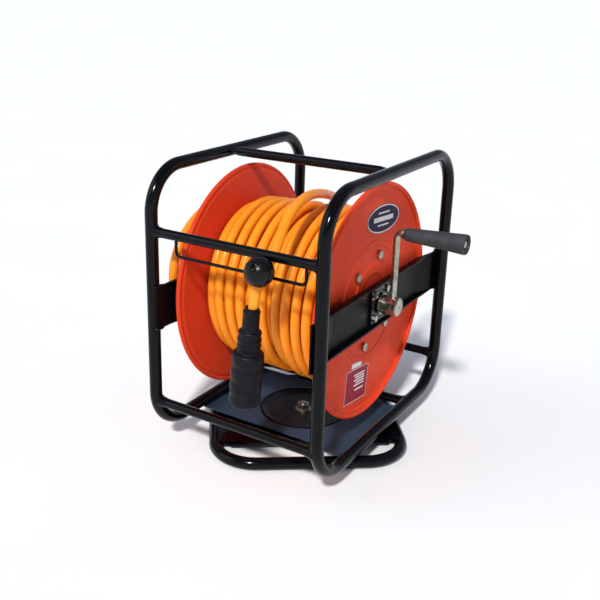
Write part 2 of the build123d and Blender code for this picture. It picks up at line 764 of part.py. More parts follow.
THREAD_R = 8.33
THREAD_LENGTH = 14.0
lead_end = Plane(origin=LEAD_POINTS[-1], x_dir=(1, 0, 0), z_dir=(0, 0, -1))
with BuildPart() as lead_in_connector:
    with BuildSketch(lead_end):
        Circle(9.4)
    extrude(amount=24)
    with BuildSketch(lead_end.offset(24)):
        RegularPolygon(hex_radius(22), 6)
    extrude(amount=9)
    with BuildSketch(lead_end.offset(33)):
        Circle(THREAD_R)
    extrude(amount=THREAD_LENGTH)
    with BuildSketch(lead_end):
        Circle(OUTLET_BORE)
    extrude(amount=33 + THREAD_LENGTH, mode=Mode.SUBTRACT)
save(lead_in_connector, "lead_in_connector")

# The free end lifts off the winding at the top rear, arches forward over it, dips under the front
# upper bar through the guide and turns down inside the ball stop to hang in the boot.
BOOT_TOP = Vector(52, -243, 306)
BOOT_FOOT = Vector(40, -243, 156)
boot_down = (BOOT_FOOT - BOOT_TOP).normalized()
HOSE_IN_BOOT = 75.0
hose_end = BOOT_TOP + boot_down * HOSE_IN_BOOT
ball_turn = BOOT_TOP - boot_down * 42.1
TAIL_POINTS = (
    (12, 95, 375.5),
    (20, 50, 401.5),
    (29, 0, 418),
    (38, -52, 430),
    (46, -103, 433),
    (51, -148, 420),
    (55.5, -179, 394.5),
    (59, -206, 363.5),
    tuple(ball_turn),
    tuple(hose_end),
)
hose_tail, tail_radii = hose_tube(TAIL_POINTS)
print_route("hose_tail", tail_radii, hose_tail.part.volume)
save(hose_tail, "hose_tail")

BALL_CENTRE = Vector(62.5, -242.5, 359.5)
BALL_R = 21.5
ball_split = Plane(origin=BALL_CENTRE, x_dir=(1, 0, 0), z_dir=(0, -1, 0))
FRONT_SCREW = (2.0, 11.0)  # across and up from the ball's centre, driven from the front
REAR_SCREW = (13.0, -4.0)  # driven from the rear
BALL_SCREW_R = 2.0
SCREW_HEAD_R = 3.8
POCKET_R = 5.0
POCKET_FLOOR = 8.0


def ball_half(side):
    """One half of the ball stop: side 1 is the front, -1 the rear."""
    pocket, through = (FRONT_SCREW, REAR_SCREW) if side == 1 else (REAR_SCREW, FRONT_SCREW)
    with BuildPart() as half:
        with Locations(BALL_CENTRE):
            Sphere(BALL_R)
        split(bisect_by=ball_split, keep=Keep.TOP if side == 1 else Keep.BOTTOM)
        add(hose_tail.part, mode=Mode.SUBTRACT)
        with BuildSketch(ball_split.offset(side * POCKET_FLOOR)):
            with Locations(pocket):
                Circle(POCKET_R)
        extrude(amount=side * BALL_R, mode=Mode.SUBTRACT)
        with BuildSketch(ball_split):
            with Locations(pocket, through):
                Circle(BALL_SCREW_R + FIT)
        extrude(amount=side * POCKET_FLOOR, mode=Mode.SUBTRACT)
    return half


save(ball_half(1), "ball_stop_front")
save(ball_half(-1), "ball_stop_rear")

with BuildPart() as ball_stop_screws:
    for side, place in ((1, FRONT_SCREW), (-1, REAR_SCREW)):
        with BuildSketch(ball_split.offset(side * POCKET_FLOOR)):
            with Locations(place):
                Circle(SCREW_HEAD_R)
        extrude(amount=side * 2.6)
        with BuildSketch(ball_split.offset(side * POCKET_FLOOR)):
            with Locations(place):
                Circle(BALL_SCREW_R)
        extrude(amount=-side * (2 * POCKET_FLOOR - 0.5))
save(ball_stop_screws, "ball_stop_screws")

# The boot's outline and bore, as radius and distance below its top.
boot_plane = Plane(origin=BOOT_TOP, x_dir=(0, 1, 0), z_dir=boot_down)
boot_side = Plane(origin=BOOT_TOP, x_dir=(0, 1, 0), z_dir=boot_down.cross(Vector(0, 1, 0)) * -1)
BOOT_LENGTH = (BOOT_FOOT - BOOT_TOP).length
BOOT_OUTLINE = (
    (10.2, 0),
    (10.2, 4),
    (12.5, 5),
    (12.5, 35),
    (16.2, 37),
    (17.2, 42),
    (16.4, 47),
    (17.4, 53),
    (16.6, 58),
    (17.2, 64),
    (16.6, 68),
    (22.4, 70),
    (23.4, 80),
    (22.6, 90),
    (23.5, 101),
    (22.6, 112),
    (23.5, 123),
    (22.6, 134),
    (23.4, 144),
    (22.8, BOOT_LENGTH),
)
COUPLING_NOSE_R = 12.0
COUPLING_R = 16.0
COUPLING_STEP = 105.0
COUPLING_END = 138.0
with BuildPart() as rubber_boot:
    with BuildSketch(boot_side):
        with BuildLine():
            Polyline(
                *BOOT_OUTLINE,
                (19, BOOT_LENGTH),
                (19, COUPLING_STEP),
                (COUPLING_NOSE_R + FIT, COUPLING_STEP),
                (COUPLING_NOSE_R + FIT, HOSE_IN_BOOT),
                (HOSE_R + FIT, HOSE_IN_BOOT),
                (HOSE_R + FIT, 0),
                close=True,
            )
        make_face()
    revolve(axis=Axis(BOOT_TOP, boot_down))
save(rubber_boot, "rubber_boot")

OUTLET_THREAD_R = 7.5
OUTLET_THREAD_LENGTH = 13.0
with BuildPart() as end_coupling:
    with BuildSketch(boot_plane.offset(HOSE_IN_BOOT)):
        Circle(COUPLING_NOSE_R)
    extrude(amount=COUPLING_STEP - HOSE_IN_BOOT)
    with BuildSketch(boot_plane.offset(COUPLING_STEP)):
        RegularPolygon(COUPLING_R, 6)
    extrude(amount=COUPLING_END - COUPLING_STEP)
    with BuildSketch(boot_plane.offset(HOSE_IN_BOOT)):
        Circle(OUTLET_BORE)
    extrude(amount=COUPLING_END - HOSE_IN_BOOT, mode=Mode.SUBTRACT)
    with BuildSketch(boot_plane.offset(COUPLING_END)):
        Circle(OUTLET_THREAD_R)
    extrude(amount=-OUTLET_THREAD_LENGTH, mode=Mode.SUBTRACT)
save(end_coupling, "end_coupling")

# The winding's outer shape, as distance along the axle and radius.
PACK_OUTLINE = (
    (-118.8, 122),
    (-101, 139),
    (-30, 142),
    (30, 144),
    (62, 148),
    (CORE_RIGHT - 0.3, 149),
)
with BuildPart() as hose_pack:
    with BuildSketch(lengthways()):
        with BuildLine():
            Polyline(*PACK_OUTLINE, (CORE_RIGHT - 0.3, CORE_R + 0.3), (-118.8, CORE_R + 0.3), close=True)
        make_face()
    revolve(axis=DRUM_AXIS)
save(hose_pack, "hose_pack")

outlet_face = BOOT_TOP + boot_down * COUPLING_END
print("outlet face", tuple(round(value, 3) for value in outlet_face), "axis", tuple(boot_down))
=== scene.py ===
"""Looks of the hose reel: camera, hoses, boot, small details, materials, floor and lights."""

import math
import random

import bmesh
import bpy
from mathutils import Matrix, Vector


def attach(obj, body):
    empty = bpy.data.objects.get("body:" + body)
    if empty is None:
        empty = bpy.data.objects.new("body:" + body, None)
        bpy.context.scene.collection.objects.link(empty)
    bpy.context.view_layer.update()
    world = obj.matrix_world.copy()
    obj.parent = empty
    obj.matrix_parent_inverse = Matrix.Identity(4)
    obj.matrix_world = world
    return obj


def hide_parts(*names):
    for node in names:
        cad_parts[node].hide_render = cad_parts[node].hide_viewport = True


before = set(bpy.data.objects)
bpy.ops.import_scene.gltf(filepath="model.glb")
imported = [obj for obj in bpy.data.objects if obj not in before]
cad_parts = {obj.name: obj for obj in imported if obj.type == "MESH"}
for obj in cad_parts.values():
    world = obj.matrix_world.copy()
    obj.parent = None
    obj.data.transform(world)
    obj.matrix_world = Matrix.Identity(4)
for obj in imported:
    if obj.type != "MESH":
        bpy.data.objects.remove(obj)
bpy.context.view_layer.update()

# Sizes are in metres. Like part.py, this script draws about the swivel axis, and at() moves a point
# into the row's frame.
REEL_X = -0.0349
AXIS_Z = 0.255
HOSE_R = 0.0075
TUBE_R = 0.010
HOOP_X = 0.149
POST_Y = 0.218
DISH_RIM_R = 0.0735
TRAY_TOP = 0.0300


def at(x, y, z):
    """A point drawn about the swivel axis, in the row's frame."""
    return Vector((x + REEL_X, y, z))


# ---- camera ----
CAMERA_PLACE = Vector((0.6240, -1.1524, 0.7284))
CAMERA_TARGET = Vector((-0.1188, 0.0, 0.2693))
CAMERA_ROLL = math.radians(0.96)
CAMERA_LENS = 50.49
CAMERA_SHIFT = (0.0577, -0.0517)


def add_camera():
    """The camera at the photograph's viewing angle."""
    back = (CAMERA_PLACE - CAMERA_TARGET).normalized()
    right = Vector((0, 0, 1)).cross(back).normalized()
    up = back.cross(right)
    rolled_right = right * math.cos(CAMERA_ROLL) + up * math.sin(CAMERA_ROLL)
    rolled_up = up * math.cos(CAMERA_ROLL) - right * math.sin(CAMERA_ROLL)
    data = bpy.data.cameras.new("camera")
    data.lens = CAMERA_LENS
    data.sensor_width = 36
    data.shift_x, data.shift_y = CAMERA_SHIFT
    data.clip_end = 200
    camera = bpy.data.objects.new("camera", data)
    turn = Matrix((rolled_right, rolled_up, back)).transposed()
    camera.matrix_world = Matrix.Translation(CAMERA_PLACE) @ turn.to_4x4()
    bpy.context.collection.objects.link(camera)
    bpy.context.scene.camera = camera


add_camera()


# ---- material building ----
class Nodes:
    """A new node material with a Principled shader and a few short ways to add to it."""

    def __init__(self, name):
        self.material = bpy.data.materials.new(name)
        self.material.use_nodes = True
        self.tree = self.material.node_tree
        self.shader = self.tree.nodes["Principled BSDF"]
        self.place = self.tree.nodes.new("ShaderNodeTexCoord").outputs["Object"]

    def set(self, **values):
        """Constant values on the shader's own sockets: roughness_a becomes Roughness A."""
        for name, value in values.items():
            self.shader.inputs[name.replace("_", " ")].default_value = value

    def link(self, output, socket):
        self.tree.links.new(output, self.shader.inputs[socket])

    def noise(self, scale, detail=3.0, stretch=None, roughness=0.5):
        node = self.tree.nodes.new("ShaderNodeTexNoise")
        node.inputs["Scale"].default_value = scale
        node.inputs["Detail"].default_value = detail
        node.inputs["Roughness"].default_value = roughness
        vector = self.place
        if stretch:
            mapping = self.tree.nodes.new("ShaderNodeMapping")
            mapping.inputs["Scale"].default_value = stretch
            self.tree.links.new(vector, mapping.inputs["Vector"])
            vector = mapping.outputs["Vector"]
        self.tree.links.new(vector, node.inputs["Vector"])
        return node.outputs["Fac"]

    def ramp(self, factor, *stops):
        """stops are (position, colour)."""
        node = self.tree.nodes.new("ShaderNodeValToRGB")
        elements = node.color_ramp.elements
        while len(elements) < len(stops):
            elements.new(0.5)
        for element, (position, colour) in zip(elements, stops):
            element.position = position
            element.color = (*colour, 1)
        self.tree.links.new(factor, node.inputs["Fac"])
        return node.outputs["Color"]

    def spread(self, factor, low, high, start=0.3, end=0.7):
        """Map a factor from start..end to low..high."""
        node = self.tree.nodes.new("ShaderNodeMapRange")
        node.inputs["From Min"].default_value = start
        node.inputs["From Max"].default_value = end
        node.inputs["To Min"].default_value = low
        node.inputs["To Max"].default_value = high
        self.tree.links.new(factor, node.inputs["Value"])
        return node.outputs["Result"]

    def inside_dish(self):
        """1 within the tray's dish and its rim, about the swivel axis, and 0 outside."""
        centred = self.tree.nodes.new("ShaderNodeMapping")
        centred.inputs["Location"].default_value = (-REEL_X, 0, 0)
        centred.inputs["Scale"].default_value = (1, 1, 0)
        self.tree.links.new(self.place, centred.inputs["Vector"])
        length = self.tree.nodes.new("ShaderNodeVectorMath")
        length.operation = "LENGTH"
        self.tree.links.new(centred.outputs["Vector"], length.inputs[0])
        return self.spread(length.outputs["Value"], 1.0, 0.0, DISH_RIM_R - 0.002, DISH_RIM_R + 0.001)

    def mix(self, factor, first, second):
        node = self.tree.nodes.new("ShaderNodeMix")
        node.data_type = "RGBA"
        self.tree.links.new(factor, node.inputs["Factor"])
        colours = [socket for socket in node.inputs if socket.type == "RGBA"]
        for value, socket in zip((first, second), colours):
            if isinstance(value, tuple):
                socket.default_value = (*value, 1)
            else:
                self.tree.links.new(value, socket)
        return [socket for socket in node.outputs if socket.type == "RGBA"][0]

    def bump(self, height, distance, strength=1.0, under=None):
        """Add relief of that height in metres and return its normal."""
        node = self.tree.nodes.new("ShaderNodeBump")
        node.inputs["Distance"].default_value = distance
        node.inputs["Strength"].default_value = strength
        self.tree.links.new(height, node.inputs["Height"])
        if under:
            self.tree.links.new(under, node.inputs["Normal"])
        self.tree.links.new(node.outputs["Normal"], self.shader.inputs["Normal"])
        return node.outputs["Normal"]


def enamel(name, colour, worn, dusty, roughness, peel):
    """Sprayed gloss paint: slow shade changes, dust, rub marks and orange peel."""
    made = Nodes(name)
    shade = made.ramp(made.noise(9, 2), (0.35, colour), (0.7, worn))
    dust = made.spread(made.noise(60, 6, roughness=0.7), 0.0, 1.0, 0.60, 0.78)
    made.link(made.mix(dust, shade, dusty), "Base Color")
    made.link(made.spread(made.noise(35, 5), roughness[0], roughness[1]), "Roughness")
    coarse = made.bump(made.noise(260, 2), peel)
    made.bump(made.noise(900, 1), peel * 0.3, under=coarse)
    return made


def frame_paint():
    made = enamel(
        "frame_paint",
        colour=(0.0010, 0.0010, 0.0015),
        worn=(0.0022, 0.0022, 0.0034),
        dusty=(0.006, 0.006, 0.008),
        roughness=(0.09, 0.17),
        peel=0.00009,
    )
    made.set(Specular_IOR_Level=0.17)
    return made.material


def sheet_paint():
    """The frame's black on flat folded sheet, more satin than on the tubes."""
    made = enamel(
        "sheet_paint",
        colour=(0.0012, 0.0012, 0.0018),
        worn=(0.0028, 0.0028, 0.0040),
        dusty=(0.009, 0.009, 0.011),
        roughness=(0.30, 0.42),
        peel=0.00010,
    )
    made.set(Specular_IOR_Level=0.06)
    return made.material


def tray_paint():
    """The same enamel, duller, with a painted bluish sky reflection on its flat part; the pressed dish
    keeps the enamel's own black.
    """
    # Painted reflection: the bluish sky colour given to the tray's flat part.
    painted_sky = (0.020, 0.032, 0.056)
    pale_painted_sky = (0.032, 0.051, 0.088)
    dark = (0.0030, 0.0030, 0.0040)
    light = (0.007, 0.007, 0.009)
    made = Nodes("tray_paint")
    shade = made.ramp(made.noise(9, 3), (0.3, painted_sky), (0.7, pale_painted_sky))
    dust = made.spread(made.noise(60, 6, roughness=0.7), 0.0, 0.7, 0.60, 0.8)
    # Pale bluish-grey dust patches over the painted sky reflection.
    dusty = made.mix(dust, shade, (0.050, 0.062, 0.085))
    black = made.ramp(made.noise(14, 4), (0.3, dark), (0.7, light))
    # In the dish the painted sky reflection is left out, so the enamel's own black shows.
    made.link(made.mix(made.inside_dish(), dusty, black), "Base Color")
    made.link(made.spread(made.noise(35, 5), 0.34, 0.48), "Roughness")
    made.set(Specular_IOR_Level=0.30)
    made.bump(made.noise(260, 2), 0.0001)
    return made.material


def disc_paint():
    made = enamel(
        "disc_paint",
        colour=(0.72, 0.060, 0.019),
        worn=(0.66, 0.050, 0.016),
        dusty=(0.68, 0.076, 0.030),
        roughness=(0.36, 0.50),
        peel=0.0001,
    )
    made.set(Specular_IOR_Level=0.06)
    return made.material


def plated_steel():
    dark = (0.22, 0.20, 0.15)
    light = (0.54, 0.51, 0.42)
    made = Nodes("plated_steel")
    made.set(Metallic=1.0)
    made.link(made.ramp(made.noise(70, 5), (0.3, dark), (0.7, light)), "Base Color")
    made.link(made.spread(made.noise(140, 6, roughness=0.7), 0.16, 0.42), "Roughness")
    made.bump(made.noise(700, 4, (1, 1, 0.2)), 0.00006)
    return made.material


def brass():
    dark = (0.50, 0.33, 0.11)
    light = (0.78, 0.57, 0.25)
    made = Nodes("brass")
    made.set(Metallic=1.0)
    made.link(made.ramp(made.noise(80, 5), (0.3, dark), (0.7, light)), "Base Color")
    made.link(made.spread(made.noise(150, 5), 0.2, 0.42), "Roughness")
    made.bump(made.noise(900, 3), 0.00004)
    return made.material


def hose_plastic():
    dark = (0.92, 0.265, 0.010)
    light = (0.95, 0.315, 0.015)
    made = Nodes("hose_plastic")
    shade = made.ramp(made.noise(22, 3), (0.3, dark), (0.7, light))
    grime = made.spread(made.noise(150, 7, roughness=0.75), 0.0, 0.22, 0.66, 0.84)
    made.link(made.mix(grime, shade, (0.72, 0.19, 0.010)), "Base Color")
    made.link(made.spread(made.noise(90, 4), 0.24, 0.38), "Roughness")
    made.set(Subsurface_Weight=0.15, Subsurface_Radius=(0.005, 0.0016, 0.0004), Subsurface_Scale=1.0)
    made.set(Specular_IOR_Level=0.26, Coat_Weight=0.06, Coat_Roughness=0.12)
    made.bump(made.noise(420, 3), 0.00006)
    return made.material


def boot_rubber():
    dark = (0.0035, 0.0035, 0.0050)
    light = (0.0070, 0.0070, 0.0098)
    made = Nodes("boot_rubber")
    made.link(made.ramp(made.noise(45, 6), (0.3, dark), (0.72, light)), "Base Color")
    made.link(made.spread(made.noise(110, 5), 0.36, 0.52), "Roughness")
    made.set(Specular_IOR_Level=0.14)
    made.bump(made.noise(1500, 4), 0.00012)
    return made.material


def grip_plastic():
    dark = (0.024, 0.026, 0.027)
    light = (0.048, 0.051, 0.054)
    made = Nodes("grip_plastic")
    made.link(made.ramp(made.noise(50, 6), (0.3, dark), (0.72, light)), "Base Color")
    made.link(made.spread(made.noise(160, 5), 0.45, 0.62), "Roughness")
    made.set(Specular_IOR_Level=0.35)
    made.bump(made.noise(1900, 5), 0.0001)
    return made.material


def ball_plastic():
    dark = (0.0014, 0.0016, 0.0018)
    light = (0.0032, 0.0036, 0.0040)
    made = Nodes("ball_plastic")
    made.link(made.ramp(made.noise(30, 4), (0.3, dark), (0.7, light)), "Base Color")
    made.link(made.spread(made.noise(90, 5), 0.18, 0.32), "Roughness")
    made.set(Specular_IOR_Level=0.24)
    made.bump(made.noise(700, 3), 0.00005)
    return made.material


def nylon():
    dark = (0.55, 0.53, 0.48)
    light = (0.70, 0.68, 0.63)
    made = Nodes("nylon")
    made.link(made.ramp(made.noise(60, 5), (0.3, dark), (0.7, light)), "Base Color")
    made.link(made.spread(made.noise(120, 4), 0.35, 0.55), "Roughness")
    made.set(Subsurface_Weight=0.1, Subsurface_Radius=(0.002, 0.002, 0.0015))
    made.bump(made.noise(900, 3), 0.00005)
    return made.material


def printed_film(name, colour, faded):
    """A stuck-on printed plate, a little faded and scuffed."""
    made = Nodes(name)
    made.link(made.ramp(made.noise(120, 6), (0.35, colour), (0.75, faded)), "Base Color")
    made.link(made.spread(made.noise(240, 5), 0.22, 0.42), "Roughness")
    made.set(Specular_IOR_Level=0.04)
    made.bump(made.noise(600, 3), 0.00004)
    return made.material


FRAME_BLACK = frame_paint()
SHEET_BLACK = sheet_paint()
TRAY_BLACK = tray_paint()
DRUM_RED = disc_paint()
ZINC = plated_steel()
BRASS = brass()
ORANGE = hose_plastic()
RUBBER = boot_rubber()
GRIP = grip_plastic()
BALL = ball_plastic()
NYLON = nylon()
BADGE_FACE = printed_film("badge_face", (0.020, 0.006, 0.036), (0.030, 0.010, 0.048))
LABEL_FACE = printed_film("label_face", (0.27, 0.013, 0.032), (0.32, 0.020, 0.042))
WHITE_PRINT = printed_film("white_print", (0.80, 0.78, 0.76), (0.68, 0.66, 0.65))


# ---- piece building ----
def piece(name, mesh, material, body, smooth=True):
    """Link a mesh as a piece that rides on a body and takes its finish from a slot."""
    mesh.materials.append(material)
    if smooth:
        mesh.shade_smooth()
    made = bpy.data.objects.new(name, mesh)
    bpy.context.collection.objects.link(made)
    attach(made, body)
    return made


def from_bmesh(name, shape):
    mesh = bpy.data.meshes.new(name)
    bmesh.ops.recalc_face_normals(shape, faces=shape.faces)
    shape.to_mesh(mesh)
    shape.free()
    return mesh


def frame_about(direction):
    """Two unit vectors square to a direction and to each other, and the direction's own."""
    along = Vector(direction).normalized()
    start = Vector((0, 1, 0)) if abs(along.y) < 0.9 else Vector((0, 0, 1))
    side = along.cross(start).normalized()
    return side, along.cross(side), along


def softened(profile, cut):
    """A turned profile with its corners rounded over."""
    points = [profile[0]]
    for before, here, after in zip(profile, profile[1:], profile[2:]):
        here = Vector(here)
        into = Vector(before) - here
        out = Vector(after) - here
        reach = min(cut, 0.45 * into.length, 0.45 * out.length)
        first = here + into.normalized() * reach
        last = here + out.normalized() * reach
        for share in (0, 0.25, 0.5, 0.75, 1):
            points.append(first * (1 - share) ** 2 + here * 2 * share * (1 - share) + last * share**2)
    points.append(profile[-1])
    return [tuple(point) for point in points]


def turned(shape, profile, origin, direction, steps=96):
    """Add a lathe-turned skin to a bmesh: profile is (radius, distance) pairs."""
    side, other, along = frame_about(direction)
    rings = []
    for radius, distance in profile:
        ring = []
        for step in range(steps):
            angle = math.tau * step / steps
            offset = side * math.cos(angle) + other * math.sin(angle)
            ring.append(shape.verts.new(Vector(origin) + along * distance + offset * radius))
        rings.append(ring)
    for ring, after in zip(rings, rings[1:]):
        for step in range(steps):
            following = (step + 1) % steps
            shape.faces.new((ring[step], ring[following], after[following], after[step]))
    return rings


def ring_of(shape, points, radii, sides=10):
    """Add a closed bead to a bmesh along a loop of points, with its own radius at each."""
    count = len(points)
    rings = []
    for index, point in enumerate(points):
        ahead = points[(index + 1) % count] - points[index - 1]
        side, other, _ = frame_about(ahead)
        ring = []
        for step in range(sides):
            angle = math.tau * step / sides
            offset = side * math.cos(angle) + other * math.sin(angle)
            ring.append(shape.verts.new(point + offset * radii[index]))
        rings.append(ring)
    for index, ring in enumerate(rings):
        after = rings[(index + 1) % count]
        shift = min(range(sides), key=lambda turn: (after[turn].co - ring[0].co).length)
        for step in range(sides):
            following = (step + 1) % sides
            far_step = after[(step + shift) % sides]
            far_following = after[(following + shift) % sides]
            shape.faces.new((ring[step], ring[following], far_following, far_step))


def hose(name, points, body):
    """A hose along one smooth NURBS line."""
    curve = bpy.data.curves.new(name, "CURVE")
    curve.dimensions = "3D"
    spline = curve.splines.new("NURBS")
    spline.points.add(len(points) - 1)
    for control, point in zip(spline.points, points):
        control.co = (*point, 1)
    spline.order_u = 3
    spline.use_endpoint_u = True
    curve.resolution_u = 5
    curve.bevel_depth = HOSE_R
    curve.bevel_resolution = 6
    curve.use_fill_caps = True
    curve.materials.append(ORANGE)
    made = bpy.data.objects.new(name, curve)
    bpy.context.collection.objects.link(made)
    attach(made, body)
    return made


# ---- hoses ----
TAIL_POINTS = [
    at(0.012, 0.095, 0.3755),
    at(0.020, 0.050, 0.4015),
    at(0.029, 0.000, 0.4180),
    at(0.038, -0.052, 0.4300),
    at(0.046, -0.103, 0.4330),
    at(0.051, -0.148, 0.4200),
    at(0.0555, -0.179, 0.3945),
    at(0.059, -0.206, 0.3635),
    at(0.055357, -0.243, 0.347966),
    at(0.046019, -0.243, 0.231239),
]
LEAD_POINTS = [
    at(-0.161, 0.000, 0.212),
    at(-0.161, 0.000, 0.168),
    at(-0.160, -0.038, 0.130),
    at(-0.156, -0.092, 0.130),
    at(-0.153, -0.128, 0.170),
    at(-0.151, -0.141, 0.212),
    at(-0.151, -0.161, 0.250),
    at(-0.151, -0.168, 0.286),
    at(-0.151, -0.161, 0.320),
    at(-0.151, -0.140, 0.350),
    at(-0.151, -0.107, 0.373),
    at(-0.151, -0.066, 0.387),
    at(-0.152, -0.023, 0.387),
    at(-0.154, 0.020, 0.375),
    at(-0.158, 0.057, 0.350),
    at(-0.164, 0.084, 0.315),
    at(-0.171, 0.098, 0.276),
    at(-0.176, 0.102, 0.240),
    at(-0.178, 0.103, 0.208),
    at(-0.178, 0.103, 0.184),
]

STEPS_PER_TURN = 16
CORE_LAY = 0.0942         # centreline radius of the turns on the core
LEFT_END = -0.1112        # the outermost places a turn can lie between the discs
RIGHT_END = 0.1072
PITCH = 0.0203
TOP_LAYER = 3
TOP_LAY = 0.1315          # centreline radius of the top layer at the left end
TOP_RISE = 0.0095         # how much larger it is at the right end
LEFT_GAP = -0.103         # outside this the turns sink between the layer and the disc
LEFT_LAYS = (CORE_LAY, 0.108, 0.1215, 0.1215)
OUTLET_X = -0.060         # where the hose joins the drum's outlet pipe
LAY_ERROR = 0.0013        # how far a turn lies from an even place
LEAN = 0.0010             # how far a turn wanders along the drum as it goes round
TAIL_ANGLE = math.atan2(0.095, 0.3755 - AXIS_Z)
TAIL_RADIUS = math.hypot(0.095, 0.3755 - AXIS_Z)
TAIL_X = 0.012
LIFT_SHARE = 0.25         # the share of the last turn over which it lifts off to meet the tail


def lay_radius(layer, x):
    """Centreline radius of a layer's turn at a place along the drum."""
    if x < LEFT_GAP:
        return LEFT_LAYS[layer]
    share = (x - LEFT_END) / (RIGHT_END - LEFT_END)
    top = TOP_LAY + TOP_RISE * share
    return CORE_LAY + (top - CORE_LAY) * layer / TOP_LAYER


def winding_stations():
    """Each turn's place along the drum and its layer, in the order in which it was wound."""
    chance = random.Random(7)

    def places(start, end):
        count = round(abs(end - start) / PITCH)
        step = (end - start) / count
        inside = [start + step * index + chance.uniform(-LAY_ERROR, LAY_ERROR) for index in range(1, count)]
        return [start, *inside, end]

    stations = [(x, 0) for x in places(TAIL_X, RIGHT_END)]
    stations += [(x, 1 if x > TAIL_X else 0) for x in places(RIGHT_END, LEFT_END)]
    stations += [(x, 2 if x > TAIL_X else 1) for x in places(LEFT_END, RIGHT_END)]
    stations += [(x, 3 if x > TAIL_X else 2) for x in places(RIGHT_END, LEFT_END)]
    stations += [(x, 3) for x in places(LEFT_END + PITCH, TAIL_X)]
    return stations


def eased(share):
    return share * share * (3 - 2 * share)


def winding_points():
    """The wound hose: it leaves the core's outlet, fills the layers and ends where the tail lifts off."""
    chance = random.Random(11)
    stations = [(OUTLET_X, 0), *winding_stations()]
    overshoot = 1 / (0.75 + 0.25 * math.cos(math.tau / STEPS_PER_TURN))
    turns = len(stations) - 1
    start_angle = TAIL_ANGLE + math.tau * turns
    points = []
    for index in range(turns):
        x, layer = stations[index]
        next_x, next_layer = stations[index + 1]
        radius = lay_radius(layer, x)
        next_radius = lay_radius(next_layer, next_x)
        lean = chance.uniform(-LEAN, LEAN)
        for step in range(STEPS_PER_TURN):
            share = step / STEPS_PER_TURN
            moved = 0.55 * share + 0.45 * eased(share)
            angle = start_angle - math.tau * (index + share)
            wave = lean * math.sin(math.tau * share)
            reach = radius + (next_radius - radius) * eased(share)
            if index == turns - 1:
                reach += (TAIL_RADIUS - next_radius) * eased(max(0, share - 1 + LIFT_SHARE) / LIFT_SHARE)
            reach *= overshoot
            place = x + (next_x - x) * moved + wave
            points.append(at(place, reach * math.sin(angle), AXIS_Z + reach * math.cos(angle)))
    tail_start = TAIL_POINTS[0]
    points[-1] = tail_start - (TAIL_POINTS[1] - tail_start) * 0.6
    points.append(tail_start)
    return points


wound = winding_points()
winding = hose("hose_winding", wound, "drum")
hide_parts("hose_pack")
tail = hose("hose_free_end", TAIL_POINTS, "frame")
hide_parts("hose_tail")
lead_in = hose("supply_hose", LEAD_POINTS, "frame")
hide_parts("lead_in_hose")

# ---- boot ----
BOOT_TOP = at(0.052, -0.243, 0.306)
BOOT_FOOT = at(0.040, -0.243, 0.156)
BOOT_LENGTH = (BOOT_FOOT - BOOT_TOP).length
BOOT_PROFILE = (
    (0.0077, 0.0750),
    (0.0077, 0.0004),
    (0.0098, 0.0000),
    (0.0102, 0.0008),
    (0.0102, 0.0042),
    (0.0119, 0.0046),
    (0.0126, 0.0066),
    (0.0120, 0.0086),
    (0.0124, 0.0340),
    (0.0158, 0.0356),
    (0.0170, 0.0380),
    (0.0162, 0.0415),
    (0.0160, 0.0440),
    (0.0174, 0.0475),
    (0.0174, 0.0500),
    (0.0160, 0.0535),
    (0.0174, 0.0575),
    (0.0174, 0.0600),
    (0.0162, 0.0640),
    (0.0166, 0.0680),
    (0.0212, 0.0694),
    (0.0230, 0.0716),
    (0.0234, 0.0760),
    (0.0233, 0.0830),
    (0.0219, 0.0890),
    (0.0219, 0.0910),
    (0.0233, 0.0965),
    (0.0233, 0.1060),
    (0.0220, 0.1120),
    (0.0220, 0.1140),
    (0.0234, 0.1195),
    (0.0234, 0.1290),
    (0.0222, 0.1345),
    (0.0224, 0.1370),
    (0.0234, 0.1420),
    (0.0234, 0.1465),
    (0.0226, BOOT_LENGTH - 0.0004),
    (0.0190, BOOT_LENGTH - 0.0004),
    (0.0190, 0.1050),
    (0.0122, 0.1050),
)


def add_boot():
    """The boot's stepped and ringed skin, open at the foot."""
    shape = bmesh.new()
    turned(shape, softened(BOOT_PROFILE, 0.0012), BOOT_TOP, BOOT_FOOT - BOOT_TOP, 112)
    mesh = from_bmesh("strain_relief_boot", shape)
    made = piece("strain_relief_boot", mesh, RUBBER, "frame")
    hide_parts("rubber_boot")
    return made


boot = add_boot()


def add_hexagon(shape, origin, direction, across_flats, start, end):
    """Add a nut's six-sided body with eased ends to a bmesh."""
    side, other, along = frame_about(direction)
    corner = across_flats / math.sqrt(3)
    rings = []
    for distance, share in ((start, 0.9), (start + 0.0008, 1.0), (end - 0.0008, 1.0), (end, 0.9)):
        ring = []
        for step in range(6):
            angle = math.tau * step / 6
            offset = side * math.cos(angle) + other * math.sin(angle)
            ring.append(shape.verts.new(Vector(origin) + along * distance + offset * corner * share))
        rings.append(ring)
    for ring, after in zip(rings, rings[1:]):
        for step in range(6):
            following = (step + 1) % 6
            shape.faces.new((ring[step], ring[following], after[following], after[step]))
    shape.faces.new(rings[0])
    shape.faces.new(rings[-1])


